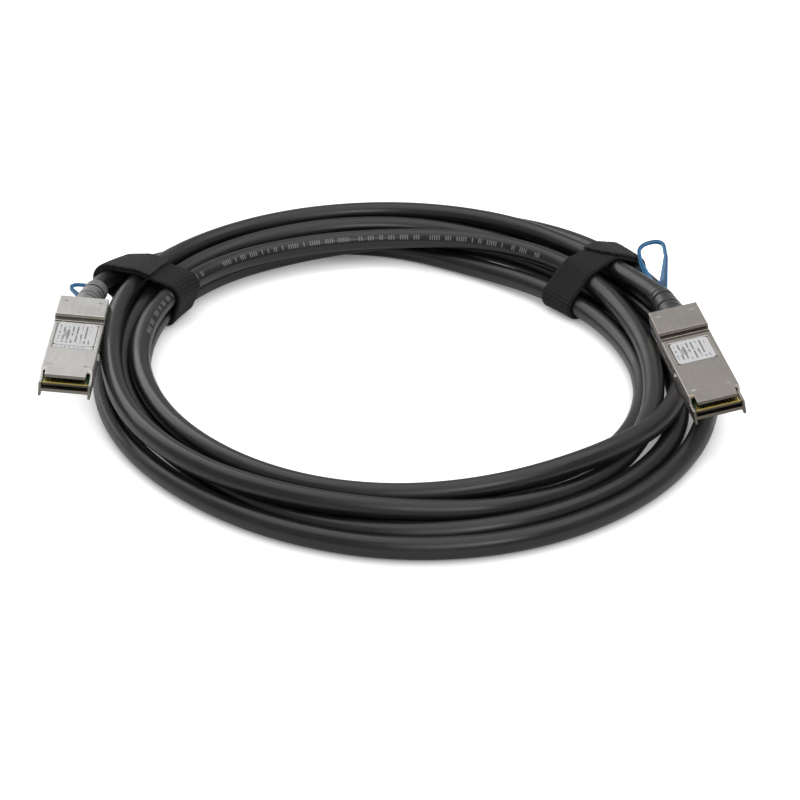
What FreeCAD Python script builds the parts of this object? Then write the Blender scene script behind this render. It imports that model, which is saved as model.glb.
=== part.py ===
import FreeCAD, Part
import math
import os

# Direct attach copper cable: one round cable wound into a flat coil, held by two
# hook-and-loop straps, with a pluggable module of the 18.35 mm wide kind at each end.
# Millimetres, +Z up. The origin is the bottom centre of the modules and straps.
# Inside a module's own frame X runs across it, Y from its nose back to its tail and
# Z up from its underside; place_module() carries that frame to where the module lies.

V = FreeCAD.Vector
X_AXIS = V(1, 0, 0)
Y_AXIS = V(0, 1, 0)
Z_AXIS = V(0, 0, 1)

# ---- cable -------------------------------------------------------------------
cable_diameter = 7.8
cable_radius = cable_diameter / 2

# ---- coil --------------------------------------------------------------------
coil_centre = V(3.94, -17.97, 0)
coil_half_width = 101.2
coil_half_depth = 114.7
coil_corner = cable_radius
coil_steps = 2
# Outer shape of the bundle round the coil, one row for each station: angle from +X in
# degrees, then inner side, outer side, underside and top in cable diameters from the
# middle line and from the surface it lies on, then how far the top leans outwards.
strap_room = 0.231
coil_lay = [
    (148.5, -0.50, 2.15, strap_room, 2.10, 0.0),
    (131.0, -0.85, 2.95, strap_room, 2.15, 0.0),
    (110.0, -1.35, 3.20, strap_room, 2.25, 0.0),
    (88.0, -1.90, 3.15, strap_room, 2.30, 0.0),
    (65.0, -2.30, 2.70, strap_room, 2.32, -0.1),
    (41.0, -2.55, 2.08, strap_room, 2.22, -0.28),
    (22.0, -2.30, 1.95, strap_room, 1.45, -0.2),
    (0.0, -2.10, 1.95, 0.12, 1.50, 0.0),
    (-22.5, -2.10, 2.10, 0.08, 1.55, 0.0),
    (-45.0, -2.30, 1.90, 0.08, 2.00, 0.0),
    (-67.5, -2.40, 1.70, 0.08, 2.10, 0.0),
    (-90.0, -2.45, 1.35, 0.08, 2.00, 0.0),
    (-112.5, -2.40, 0.95, 0.08, 2.00, 0.0),
    (-135.0, -2.50, 0.75, 0.08, 2.00, 0.0),
    (-157.5, -2.30, 0.90, 0.08, 2.00, 0.0),
    (-180.0, -1.70, 1.10, 0.16, 2.00, 0.0),
]

# ---- straps ------------------------------------------------------------------
strap_width = 16.0
strap_thickness = 1.5
strap_gap = 0.3
strap_tail_length = 12.0
strap_a_angle = 148.5
strap_b_angle = 41.0
# Inside of each band in cable diameters, (outwards, up) round the bundle: band a also
# takes in the lead that lies against the outside of the coil.
strap_a_inside = [(-0.88, 0.1923), (2.50, 0.1923), (4.32, 1.45), (4.32, 2.40), (-0.88, 2.24)]
strap_b_inside = [(-2.66, 0.1923), (2.20, 0.1923), (2.20, 2.28), (-2.66, 2.80)]
strap_inside_corner = 3.2

# ---- module shells -----------------------------------------------------------
module_width = 18.35
insert_height = 8.5
insert_length = 52.4
module_length = 71.0
rear_rise = 1.9
half_width = module_width / 2
rear_height = insert_height + rear_rise
parting_height = 5.2
side_wall = 0.9
top_wall = 1.1
floor_wall = 1.2
edge_round = 0.35
mouth_depth = 17.0
tongue_half_width = 7.2
notch_length = 6.0
step_bevel = 0.7
groove_length = 1.3
groove_depth = 0.5
lip_length = 3.6
lip_rise = 1.8
lip_thickness = 1.1

# ---- paddle card and what it carries -----------------------------------------
card_thickness = 1.0
card_gap = 0.1
card_half_width = half_width - side_wall - card_gap
card_rear_half_width = 6.9
card_front = 0.25
card_shoulder = 14.5
card_end = insert_length - 9.4
card_bevel = 0.3
card_top = parting_height + 0.1
card_bottom = card_top - card_thickness
card_stop_place = 6.35
card_stop_half = 0.4
card_stop_front = card_end - 4.5
card_stop_rear = card_end - 2.0
pads_per_side = 19
pad_pitch = 0.8
pad_width = 0.54
pad_length = 5.6
pad_thickness = 0.06
pad_setback = 0.5
chip_length = 6.0
chip_width = 4.9
chip_height = 1.4
chip_place = V(0, 24.0, 0)
chip_legs = 4
chip_leg_pitch = 1.27
chip_leg_width = 0.42
pair_count = 8
pair_width = 1.9
pair_height = 0.95
pair_pitch = 3.2
pair_overlap = 4.0
pair_bevel = 0.28

# ---- cable entry -------------------------------------------------------------
entry_height = parting_height
mould_front = insert_length + 0.6
mould_half_width = 6.2
mould_half_height = 3.6
crimp_front = module_length - 9.5
crimp_length = 5.2
crimp_wall = 0.5
crimp_radius = cable_radius + crimp_wall
flange_front = module_length - 3.6
flange_length = 1.6
flange_half_width = 6.0
flange_half_height = 4.1
flange_gap = 0.1
neck_gap = 0.05
boot_length = 20.0
boot_front_radius = 4.7
boot_rear_radius = 4.35
boot_rear_bevel = 0.3
boot_ring_count = 2
boot_ring_pitch = 5.2
boot_ring_width = 0.8
boot_ring_depth = 0.32
boot_slot_width = 0.7
boot_slot_angle = 70.0

# ---- rivets ------------------------------------------------------------------
rivet_radius = 0.65
rivet_half_spacing = 6.4
rivet_rear_setback = 4.9
rivet_front_setback = 9.4
rivet_foot = 0.6
rivet_proud = 0.08
rivet_card_gap = 0.25

# ---- latch -------------------------------------------------------------------
latch_travel = 1.8
latch_sheet = 0.5
latch_gap = 0.08
latch_arm_height = 3.0
latch_arm_front = 27.0
latch_tine_length = 3.0
latch_tine_reach = 0.7
latch_arm_bottom = 3.2
yoke_gap = 0.3
yoke_top = 8.4
yoke_bottom = -1.0
yoke_hole_radius = boot_front_radius + 0.6
tongue_length = 6.0
tongue_half_width_tab = 3.2
spring_wire = 0.22
spring_radius = 0.62
spring_turns = 3
spring_length = 3.1
spring_front = insert_length - 7.4
spring_travel_gap = latch_travel + 0.1
lug_length = 1.2

# ---- pull tab ----------------------------------------------------------------
tab_thickness = 1.4
tab_strip_half_width = 3.6
tab_rim = 1.7
tab_loop_half_width = 6.6
tab_loop_length = 22.0
tab_web_length = 5.0
tab_hole_front_half = 1.2
tab_corner = 4.2
tab_cover = 0.45

# ---- labels ------------------------------------------------------------------
label_thickness = 0.1
label_recess = 0.15
label_corner = 1.6
label_margin = 0.4
strip_label_length = 2.4

# Where each module lies: the middle of its tail's underside, yaw, pitch and roll in
# degrees, then its label's size and rear edge and its pull tab's straight run and turns.
modules = {
    "a": {"tail": V(-116.05, 9.91, 12.65), "yaw": 0.8, "pitch": -4.4, "roll": 5.9,
          "label_half_width": 7.3, "label_rear": 48.6, "label_length": 20.4,
          "tab_run": 12.5, "tab_turn": 3.0, "tab_skew": 5.0},
    "b": {"tail": V(107.22, -3.35, 15.38), "yaw": 7.3, "pitch": -0.9, "roll": -11.0,
          "label_half_width": 7.0, "label_rear": 46.8, "label_length": 16.8,
          "tab_run": 39.0, "tab_turn": 10.5, "tab_skew": -17.0},
}

# The leads: each leaves its crimp straight, turns once behind the boot and runs into
# the bundle, where its far end lies.
lead_straight = 54.0
lead_far_ends = {"a": V(-72.06, 85.33, 9.5), "b": V(64.0, 80.9, 9.0)}


def box(x0, x1, y0, y1, z0, z1):
    """A block between two opposite corners."""
    return Part.makeBox(x1 - x0, y1 - y0, z1 - z0, V(x0, y0, z0))


def rod(radius, start, along, length):
    return Part.makeCylinder(radius, length, start, along)


def prism(points, along):
    """A closed outline of straight edges, pushed along a vector."""
    return Part.Face(Part.makePolygon(points + points[:1])).extrude(along)


def rounded_plate(x0, x1, y0, y1, z0, z1, radius):
    """A plate whose four upright corners are round."""
    plate = box(x0, x1, y0, y1, z0, z1)
    upright = [edge for edge in plate.Edges if abs(edge.tangentAt(edge.FirstParameter).z) > 0.99]
    return plate.makeFillet(radius, upright)


def long_edges(shape, height, x_place):
    """Edges that run along Y at a given height and distance from the middle."""
    found = []
    for edge in shape.Edges:
        middle = edge.BoundBox.Center
        straight = edge.BoundBox.XLength < 1e-6 and edge.BoundBox.ZLength < 1e-6
        if straight and abs(middle.z - height) < 1e-6 and abs(abs(middle.x) - x_place) < 1e-6:
            found.append(edge)
    return found


def placed(shape, module):
    """Carries a shape from a module's own frame to where that module lies."""
    spec = modules[module]
    turn = FreeCAD.Rotation(Z_AXIS, spec["yaw"])
    turn = turn.multiply(FreeCAD.Rotation(X_AXIS, spec["pitch"]))
    turn = turn.multiply(FreeCAD.Rotation(Y_AXIS, spec["roll"]))
    moved = shape.copy()
    nose = spec["tail"] - turn.multVec(V(0, module_length, 0))
    moved.Placement = FreeCAD.Placement(nose, turn).multiply(moved.Placement)
    return moved


def placed_point(point, module):
    """The place of a point of a module's own frame."""
    return placed(Part.Vertex(point), module).Point


# ---- module shells -----------------------------------------------------------

def rivet_places():
    rear = module_length - rivet_rear_setback
    return [(side * rivet_half_spacing, place)
            for place in (rivet_front_setback, rear) for side in (-1, 1)]


def rivet_top(place_y):
    return insert_height if place_y < insert_length else rear_height


def cavity():
    """The hollow inside both shells: mouth, card room, wire room, crimp seat and neck."""
    mouth = box(-half_width + side_wall, half_width - side_wall, -1, mouth_depth,
                floor_wall, insert_height - top_wall)
    card_room_half = card_rear_half_width + card_gap
    card_room = box(-card_room_half, card_room_half, mouth_depth, mould_front,
                    floor_wall, insert_height - top_wall)
    wire_room = box(-mould_half_width, mould_half_width, mould_front, crimp_front,
                    entry_height - mould_half_height, entry_height + mould_half_height)
    crimp_seat = rod(crimp_radius, V(0, crimp_front, entry_height), Y_AXIS,
                     module_length - crimp_front + 1)
    flange_room = box(-flange_half_width - flange_gap, flange_half_width + flange_gap,
                      flange_front - flange_gap, flange_front + flange_length + flange_gap,
                      entry_height - flange_half_height - flange_gap,
                      entry_height + flange_half_height + flange_gap)
    hollow = mouth.fuse([card_room, wire_room, crimp_seat, flange_room])
    for x, y in rivet_places():
        top = rivet_top(y)
        hollow = hollow.fuse(rod(rivet_radius, V(x, y, rivet_foot), Z_AXIS, top - rivet_foot + 1))
    return hollow


def latch_channels():
    """Recesses in both side walls that the latch arms slide in, open at the tail."""
    depth = latch_sheet + latch_gap
    front = latch_arm_front - latch_gap
    low = latch_arm_bottom - latch_gap
    high = latch_arm_bottom + latch_arm_height + latch_gap
    channels = []
    for side in (-1, 1):
        inner = side * (half_width - depth)
        outer = side * (half_width + 1)
        channels.append(box(min(inner, outer), max(inner, outer), front, module_length + 1, low, high))
        pocket_depth = depth + 2 * spring_radius + spring_wire
        pocket_inner = side * (half_width - pocket_depth)
        channels.append(box(min(pocket_inner, outer), max(pocket_inner, outer),
                            spring_front - lug_length - latch_gap, spring_front + spring_travel_gap + spring_length,
                            low + 0.4, high - 0.4))
    return channels[0].fuse(channels[1:])


def outer_block():
    """The module's outside: low part that enters the cage, bevelled step, raised tail."""
    profile = [V(0, 0, 0), V(0, module_length, 0), V(0, module_length, rear_height),
               V(0, insert_length + step_bevel, rear_height),
               V(0, insert_length, rear_height - step_bevel),
               V(0, insert_length, insert_height), V(0, 0, insert_height)]
    block = prism([point + V(-half_width, 0, 0) for point in profile], V(module_width, 0, 0))
    edges = long_edges(block, insert_height, half_width)
    edges += long_edges(block, rear_height, half_width)
    return block.makeFillet(edge_round, edges)


def label_pocket(module):
    spec = modules[module]
    half = spec["label_half_width"] + label_margin
    rear = spec["label_rear"] + label_margin
    front = spec["label_rear"] - spec["label_length"] - label_margin
    if module == "a":
        front -= strip_label_length + label_margin
    return box(-half, half, front, rear, insert_height - label_recess, insert_height + 1)


def top_shell(module):
    """Upper casting: roof, upper walls, notched tongue, step groove and card stops."""
    above = box(-half_width - 1, half_width + 1, -1, module_length + 1, parting_height, rear_height + 1)
    shell = outer_block().common(above)
    shell = shell.cut(cavity()).cut(latch_channels()).cut(label_pocket(module))
    for side in (-1, 1):
        inner = side * tongue_half_width
        outer = side * (half_width + 1)
        shell = shell.cut(box(min(inner, outer), max(inner, outer), -1, notch_length,
                              parting_height - 1, insert_height + 1))
    shell = shell.cut(box(-half_width - 1, half_width + 1, insert_length - groove_length,
                          insert_length, insert_height - groove_depth, insert_height + 1e-3))
    stops = [box(side * card_stop_place - card_stop_half, side * card_stop_place + card_stop_half,
                 card_stop_front, card_stop_rear, card_top, insert_height - top_wall + 0.2) for side in (-1, 1)]
    return shell.fuse(stops).removeSplitter()


def bottom_shell():
    """Lower casting: floor, lower walls, raised lip between two claws, card ledges."""
    below = box(-half_width - 1, half_width + 1, -1, module_length + 1, -1, parting_height)
    shell = outer_block().common(below)
    shell = shell.cut(cavity()).cut(latch_channels())
    claw = half_width - side_wall
    under_lip = prism([V(-claw, -1, -1), V(-claw, lip_length + lip_rise, -1),
                       V(-claw, lip_length + lip_rise, 0), V(-claw, lip_length, lip_rise),
                       V(-claw, -1, lip_rise)], V(2 * claw, 0, 0))
    lip = prism([V(-claw, 0, lip_rise), V(-claw, lip_length, lip_rise),
                 V(-claw, lip_length + lip_rise, 0), V(-claw, lip_length + lip_rise, floor_wall),
                 V(-claw, lip_length, lip_rise + lip_thickness),
                 V(-claw, 0, lip_rise + lip_thickness)], V(2 * claw, 0, 0))
    shell = shell.cut(under_lip).fuse(lip)
    ledges = [box(min(side * claw, side * (claw - 1.0)), max(side * claw, side * (claw - 1.0)),
                  mouth_depth - 6.0, mouth_depth, floor_wall, card_bottom) for side in (-1, 1)]
    posts = [box(side * card_stop_place - card_stop_half, side * card_stop_place + card_stop_half,
                 card_stop_front, card_stop_rear, floor_wall - 0.2, card_bottom) for side in (-1, 1)]
    return shell.fuse(ledges + posts).removeSplitter()


def rivets():
    """Four pins that join the shells, their peened ends just proud of the roof."""
    pins = []
    for x, y in rivet_places():
        top = rivet_top(y)
        pins.append(rod(rivet_radius, V(x, y, rivet_foot), Z_AXIS, top + rivet_proud - rivet_foot))
    return pins


# ---- inside ------------------------------------------------------------------

def paddle_card():
    """The printed circuit card: wide bevelled nose, narrower body, two pin holes."""
    wide, narrow = card_half_width, card_rear_half_width
    outline = [V(-wide + card_bevel, card_front, card_bottom), V(wide - card_bevel, card_front, card_bottom),
               V(wide, card_front + card_bevel, card_bottom), V(wide, card_shoulder, card_bottom),
               V(narrow, card_shoulder, card_bottom), V(narrow, card_end, card_bottom),
               V(-narrow, card_end, card_bottom), V(-narrow, card_shoulder, card_bottom),
               V(-wide, card_shoulder, card_bottom), V(-wide, card_front + card_bevel, card_bottom)]
    card = prism(outline, V(0, 0, card_thickness))
    for side in (-1, 1):
        hole = rod(rivet_radius + rivet_card_gap,
                   V(side * rivet_half_spacing, rivet_front_setback, card_bottom - 1),
                   Z_AXIS, card_thickness + 2)
        card = card.cut(hole)
    return card


def contacts():
    """Gold edge pads, a row on each face of the card."""
    first = -pad_pitch * (pads_per_side - 1) / 2
    start = card_front + pad_setback
    pads = []
    for face in (card_top, card_bottom - pad_thickness):
        for index in range(pads_per_side):
            x = first + index * pad_pitch
            pads.append(box(x - pad_width / 2, x + pad_width / 2, start, start + pad_length,
                            face, face + pad_thickness))
    return pads


def memory_chip():
    """Small eight-leg chip that holds the module's identity data."""
    base = card_top
    body = rounded_plate(chip_place.x - chip_width / 2, chip_place.x + chip_width / 2,
                         chip_place.y - chip_length / 2, chip_place.y + chip_length / 2,
                         base + 0.15, base + chip_height, 0.3)
    first = chip_place.y - chip_leg_pitch * (chip_legs - 1) / 2
    legs = []
    for side in (-1, 1):
        root = chip_place.x + side * (chip_width / 2 - 0.2)
        knee = chip_place.x + side * (chip_width / 2 + 0.5)
        toe = chip_place.x + side * (chip_width / 2 + 1.1)
        for index in range(chip_legs):
            y = first + index * chip_leg_pitch
            profile = [V(root, y, base + 0.75), V(knee, y, base + 0.75), V(knee, y, base + 0.18),
                       V(toe, y, base + 0.18), V(toe, y, base), V(knee - side * 0.2, y, base),
                       V(knee - side * 0.2, y, base + 0.57), V(root, y, base + 0.57)]
            legs.append(prism(profile, V(0, chip_leg_width, 0)))
    return body.fuse(legs).removeSplitter()


def wire_pairs():
    """Eight shielded pairs, four soldered to each face of the card."""
    per_face = pair_count // 2
    first = -pair_pitch * (per_face - 1) / 2
    start = card_end - pair_overlap
    pairs = []
    for low in (card_top, card_bottom - pair_height):
        for index in range(per_face):
            x = first + index * pair_pitch
            pair = box(x - pair_width / 2, x + pair_width / 2, start, mould_front, low, low + pair_height)
            along = [edge for edge in pair.Edges if edge.BoundBox.YLength > 1]
            pairs.append(pair.makeChamfer(pair_bevel, along))
    return pairs


def inner_mould():
    """Block of hot-melt that holds the pairs where they leave the jacket."""
    block = box(-mould_half_width, mould_half_width, mould_front, crimp_front,
                entry_height - mould_half_height, entry_height + mould_half_height)
    front = [edge for edge in block.Edges if abs(edge.BoundBox.Center.y - mould_front) < 1e-6]
    return block.makeChamfer(0.8, front)


def crimp_ring():
    """Brass ferrule crimped on the end of the jacket."""
    start = V(0, crimp_front, entry_height)
    ring = rod(crimp_radius, start, Y_AXIS, crimp_length)
    return ring.cut(rod(cable_radius, start, Y_AXIS, crimp_length))


# ---- strain relief -----------------------------------------------------------

def boot_radius(distance):
    """Outside radius of the boot at a distance behind the module's tail."""
    return boot_front_radius + (boot_rear_radius - boot_front_radius) * distance / boot_length


def boot():
    """Rubber strain relief: clamped flange, neck, tapered sleeve with rings and slots."""
    tail = V(0, module_length, entry_height)
    flange = rounded_box_y(flange_half_width, flange_half_height, flange_front, flange_length)
    neck = rod(crimp_radius - neck_gap, V(0, flange_front, entry_height), Y_AXIS, module_length - flange_front)
    sleeve = Part.makeCone(boot_front_radius, boot_rear_radius, boot_length, tail, Y_AXIS)
    sleeve = sleeve.makeChamfer(boot_rear_bevel, [edge for edge in sleeve.Edges
                                                  if edge.BoundBox.YMin > tail.y + boot_length / 2])
    body = flange.fuse([neck, sleeve])
    for index in range(boot_ring_count):
        distance = boot_length * 0.40 + index * boot_ring_pitch
        outer = boot_radius(distance) + 0.5
        inner = boot_radius(distance) - boot_ring_depth
        place = V(0, module_length + distance, entry_height)
        groove = rod(outer, place, Y_AXIS, boot_ring_width).cut(rod(inner, place, Y_AXIS, boot_ring_width))
        body = body.cut(groove)
        for half_turn in (0, 1):
            middle = V(0, module_length + distance + boot_ring_pitch / 2, entry_height)
            wedge = Part.makeCylinder(outer, boot_slot_width, middle, Y_AXIS, boot_slot_angle)
            wedge = wedge.cut(rod(inner, middle, Y_AXIS, boot_slot_width))
            wedge.rotate(middle, Y_AXIS, 180 * half_turn + 20)
            body = body.cut(wedge)
    bore = rod(cable_radius, V(0, flange_front - 1, entry_height), Y_AXIS, module_length + boot_length)
    return body.cut(bore)


def rounded_box_y(half_across, half_up, start, length):
    """A block about the entry axis whose edges along Y are round."""
    block = box(-half_across, half_across, start, start + length,
                entry_height - half_up, entry_height + half_up)
    along = [edge for edge in block.Edges if edge.BoundBox.YLength > length / 2]
    return block.makeFillet(1.2, along)


# ---- latch -------------------------------------------------------------------

def latch_slide():
    """Folded steel latch: two side arms with tines, a yoke round the boot, a tongue."""
    outer = half_width - latch_gap / 2
    inner = outer - latch_sheet
    yoke_front = module_length + yoke_gap
    yoke_back = yoke_front + latch_sheet
    low = latch_arm_bottom
    high = latch_arm_bottom + latch_arm_height
    parts = []
    for side in (-1, 1):
        parts.append(box(min(side * inner, side * outer), max(side * inner, side * outer),
                         latch_arm_front, yoke_back, low, high))
        tine_root = latch_arm_front + latch_tine_length
        tine = [V(side * inner, tine_root, low + 0.5), V(side * outer, tine_root, low + 0.5),
                V(side * (outer + latch_tine_reach), latch_arm_front + 0.6, low + 0.5),
                V(side * (outer + latch_tine_reach), latch_arm_front, low + 0.5),
                V(side * inner, latch_arm_front, low + 0.5)]
        parts.append(prism(tine, V(0, 0, latch_arm_height - 1.0)))
        lug_inner = inner - 2 * spring_radius
        parts.append(box(min(side * lug_inner, side * inner), max(side * lug_inner, side * inner),
                         spring_front - lug_length, spring_front, low + 0.5, high - 0.5))
    yoke = rounded_plate_xz(outer, yoke_bottom, yoke_top, yoke_front, yoke_back)
    yoke = yoke.cut(rod(yoke_hole_radius, V(0, yoke_front - 1, entry_height), Y_AXIS, 3))
    tongue = box(-tongue_half_width_tab, tongue_half_width_tab, yoke_front,
                 yoke_back + tongue_length, yoke_bottom, yoke_bottom + latch_sheet)
    return parts[0].fuse(parts[1:] + [yoke, tongue]).removeSplitter()


def rounded_plate_xz(half_across, low, high, front, back):
    """An upright plate across the module with round corners."""
    plate = box(-half_across, half_across, front, back, low, high)
    corners = [edge for edge in plate.Edges if edge.BoundBox.YLength > (back - front) / 2]
    return plate.makeFillet(1.0, corners)


def latch_springs():
    """Two small return springs, one in each side channel, drawn pressed together."""
    coils = []
    pitch = spring_length / spring_turns
    for side in (-1, 1):
        x = side * (half_width - latch_sheet - latch_gap - spring_radius)
        z = latch_arm_bottom + latch_arm_height / 2
        front = V(x, spring_front + spring_travel_gap, z)
        core = rod(spring_radius - spring_wire, front, Y_AXIS, spring_length)
        rings = [rod(spring_radius, front + Y_AXIS * (pitch * (index + 0.5) - spring_wire),
                     Y_AXIS, 2 * spring_wire) for index in range(spring_turns)]
        coils.append(core.fuse(rings).removeSplitter())
    return coils


def pull_tab(module):
    """Moulded pull tab: strip clipped on the tongue, flared into a finger loop."""
    spec = modules[module]
    start = module_length + yoke_gap + latch_sheet + latch_gap
    low = yoke_bottom - tab_cover
    high = low + tab_thickness
    run_end = start + spec["tab_run"]
    loop_end = run_end + tab_loop_length
    strip = box(-tab_strip_half_width, tab_strip_half_width, start, run_end, low, high)
    loop = tab_outline(tab_strip_half_width, tab_loop_half_width, run_end, loop_end,
                       tab_corner, low, tab_thickness)
    hole = tab_outline(tab_hole_front_half, tab_loop_half_width - tab_rim, run_end + tab_web_length,
                       loop_end - tab_rim, tab_corner - tab_rim, low - 1, tab_thickness + 2)
    loop = loop.cut(hole)
    pivot = V(0, run_end, low + tab_thickness / 2)
    loop.rotate(pivot, Z_AXIS, spec["tab_skew"])
    loop.rotate(pivot, X_AXIS, spec["tab_turn"])
    knee = rod(tab_thickness / 2, V(-tab_strip_half_width, run_end, low + tab_thickness / 2), X_AXIS,
               2 * tab_strip_half_width)
    slot = box(-tongue_half_width_tab, tongue_half_width_tab, start - 1,
               module_length + yoke_gap + latch_sheet + tongue_length,
               yoke_bottom, yoke_bottom + latch_sheet)
    return strip.fuse([loop, knee]).cut(slot).removeSplitter()


def tab_outline(front_half, rear_half, front, rear, corner, low, height):
    """A plate that widens towards a rear edge with round corners."""
    plate = prism([V(-front_half, front, low), V(front_half, front, low),
                   V(rear_half, rear - corner, low), V(rear_half, rear, low),
                   V(-rear_half, rear, low), V(-rear_half, rear - corner, low)], V(0, 0, height))
    rear_corners = [edge for edge in plate.Edges
                    if edge.BoundBox.ZLength > height / 2 and edge.BoundBox.YMin > rear - 1e-6]
    return plate.makeFillet(corner * 0.9, rear_corners)


def label(module):
    """Blank sticker seated in its shallow recess."""
    spec = modules[module]
    half = spec["label_half_width"]
    rear = spec["label_rear"]
    base = insert_height - label_recess
    return rounded_plate(-half, half, rear - spec["label_length"], rear, base,
                         base + label_thickness, label_corner)


def strip_label():
    """The narrow second sticker of module a, in front of the first."""
    spec = modules["a"]
    half = spec["label_half_width"]
    rear = spec["label_rear"] - spec["label_length"] - label_margin
    base = insert_height - label_recess
    return rounded_plate(-half, half, rear - strip_label_length, rear, base,
                         base + label_thickness, 0.5)


# ---- coil, straps and leads --------------------------------------------------

def coil_point(angle, out, up):
    """A point beside the coil's middle line: so far outwards and so far up."""
    turn = math.radians(angle)
    middle = coil_centre + V(coil_half_width * math.cos(turn), coil_half_depth * math.sin(turn), 0)
    return middle + coil_outward(angle) * out + V(0, 0, up)


def coil_outward(angle):
    turn = math.radians(angle)
    outward = V(math.cos(turn) / coil_half_width, math.sin(turn) / coil_half_depth, 0)
    return outward.normalize()


def rounded_loop(place, corners, radius):
    """A closed outline through place(across, up) of straight edges and round corners."""
    points = [V(across, up, 0) for across, up in corners]
    edges = []
    ends = []
    for index, corner in enumerate(points):
        before = (points[index - 1] - corner).normalize()
        after = (points[(index + 1) % len(points)] - corner).normalize()
        half = before.getAngle(after) / 2
        cut_back = radius / math.tan(half)
        middle = corner + (before + after).normalize() * (radius / math.sin(half) - radius)
        ends.append((corner + before * cut_back, middle, corner + after * cut_back))
    for index, (start, middle, end) in enumerate(ends):
        following = ends[(index + 1) % len(ends)][0]
        edges.append(Part.Arc(place(start), place(middle), place(end)).toShape())
        edges.append(Part.LineSegment(place(end), place(following)).toShape())
    return Part.Wire(edges)


def coil():
    """One closed solid of the outer shape of the wound turns."""
    rows = []
    following = coil_lay[1:] + [(coil_lay[0][0] - 360,) + coil_lay[0][1:]]
    for row, after in zip(coil_lay, following):
        for step in range(coil_steps):
            share = step / coil_steps
            rows.append([now + (then - now) * share for now, then in zip(row, after)])
    sections = []
    for angle, inner, outer, low, high, lean in rows:
        corners = [(inner, low), (outer, low), (outer, high * (1 + lean / 2)),
                   (inner, high * (1 - lean / 2))]
        corners = [(across * cable_diameter, up * cable_diameter) for across, up in corners]
        sections.append(rounded_loop(lambda at, angle=angle: coil_point(angle, at.x, at.y),
                                     corners, coil_corner))
    return Part.makeLoft(sections, True, True, True)


def strap(angle, inside, neighbour):
    """A hook-and-loop band round the bundle, with its free end lapped over the top."""
    along = V(-coil_outward(angle).y, coil_outward(angle).x, 0)
    start = along * (-strap_width / 2)

    def place(at):
        return coil_point(angle, at.x, at.y) + start

    corners = [(across * cable_diameter, up * cable_diameter) for across, up in inside]
    hollow = rounded_loop(place, corners, strap_inside_corner)
    outside = hollow.makeOffset2D(strap_thickness)
    band = Part.Face(outside).extrude(along * strap_width)
    band = band.cut(Part.Face(hollow).extrude(along * strap_width))
    inner_top = V(corners[-1][0], corners[-1][1], 0)
    outer_top = V(corners[-2][0], corners[-2][1], 0)
    slope = (outer_top - inner_top).normalize()
    rise = V(-slope.y, slope.x, 0)
    lap_end = outer_top - slope * strap_inside_corner
    lap_start = lap_end - slope * strap_tail_length
    lap_corners = [lap_start + rise * strap_thickness, lap_end + rise * strap_thickness,
                   lap_end + rise * 2 * strap_thickness, lap_start + rise * 2 * strap_thickness]
    lap = rounded_loop(place, [(at.x, at.y) for at in lap_corners], strap_thickness * 0.4)
    band = band.fuse(Part.Face(lap).extrude(along * strap_width)).removeSplitter()
    return band.cut(neighbour)


def tube(points, thickness, name):
    """A round cord along straight runs joined by tangent arcs."""
    pieces = []
    start = points[0]
    length = 0.0
    radii = []
    for before, corner, after in zip(points, points[1:], points[2:]):
        arriving = (corner - before).normalize()
        leaving = (after - corner).normalize()
        turn = arriving.getAngle(leaving)
        cut_back = 0.45 * min(corner.distanceToPoint(before), corner.distanceToPoint(after))
        radius = cut_back / math.tan(turn / 2)
        radii.append(round(radius, 1))
        arc_start = corner - arriving * cut_back
        arc_end = corner + leaving * cut_back
        toward = (leaving - arriving).normalize()
        centre = corner + toward * (radius / math.cos(turn / 2))
        pieces.append(rod(thickness / 2, start, arriving, start.distanceToPoint(arc_start)))
        section = Part.Face(Part.Wire(Part.makeCircle(thickness / 2, arc_start, arriving)))
        pieces.append(section.revolve(centre, arriving.cross(leaving), math.degrees(turn)))
        length += start.distanceToPoint(arc_start) + radius * turn
        start = arc_end
    pieces.append(rod(thickness / 2, start, leaving, start.distanceToPoint(points[-1])))
    length += start.distanceToPoint(points[-1])
    solid = pieces[0].fuse(pieces[1:]).removeSplitter()
    expected = math.pi * (thickness / 2) ** 2 * length
    print(name, "radii", radii, "length", round(length, 1),
          "volume against section times length", round(solid.Volume / expected, 4))
    return solid


def lead_route(module):
    crimp_end = placed_point(V(0, crimp_front, entry_height), module)
    corner = placed_point(V(0, crimp_front + lead_straight, entry_height), module)
    return [crimp_end, corner, lead_far_ends[module]]


def lead(module, coil_solid):
    """The free stretch of cable from a module's crimp to the side of the bundle."""
    cord = tube(lead_route(module), cable_diameter, "lead_" + module)
    pieces = cord.cut(coil_solid).Solids
    return max(pieces, key=lambda piece: piece.Volume)


def module_nodes(module):
    parts = {
        "top_shell": top_shell(module),
        "bottom_shell": bottom_shell(),
        "rivets": Part.makeCompound(rivets()),
        "paddle_card": paddle_card(),
        "contacts": Part.makeCompound(contacts()),
        "memory_chip": memory_chip(),
        "wire_pairs": Part.makeCompound(wire_pairs()),
        "inner_mould": inner_mould(),
        "crimp_ring": crimp_ring(),
        "boot": boot(),
        "latch_slide": latch_slide(),
        "latch_springs": Part.makeCompound(latch_springs()),
        "pull_tab": pull_tab(module),
        "label": label(module),
    }
    if module == "a":
        parts["strip_label"] = strip_label()
    return {name + "_" + module: placed(shape, module) for name, shape in parts.items()}


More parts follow.
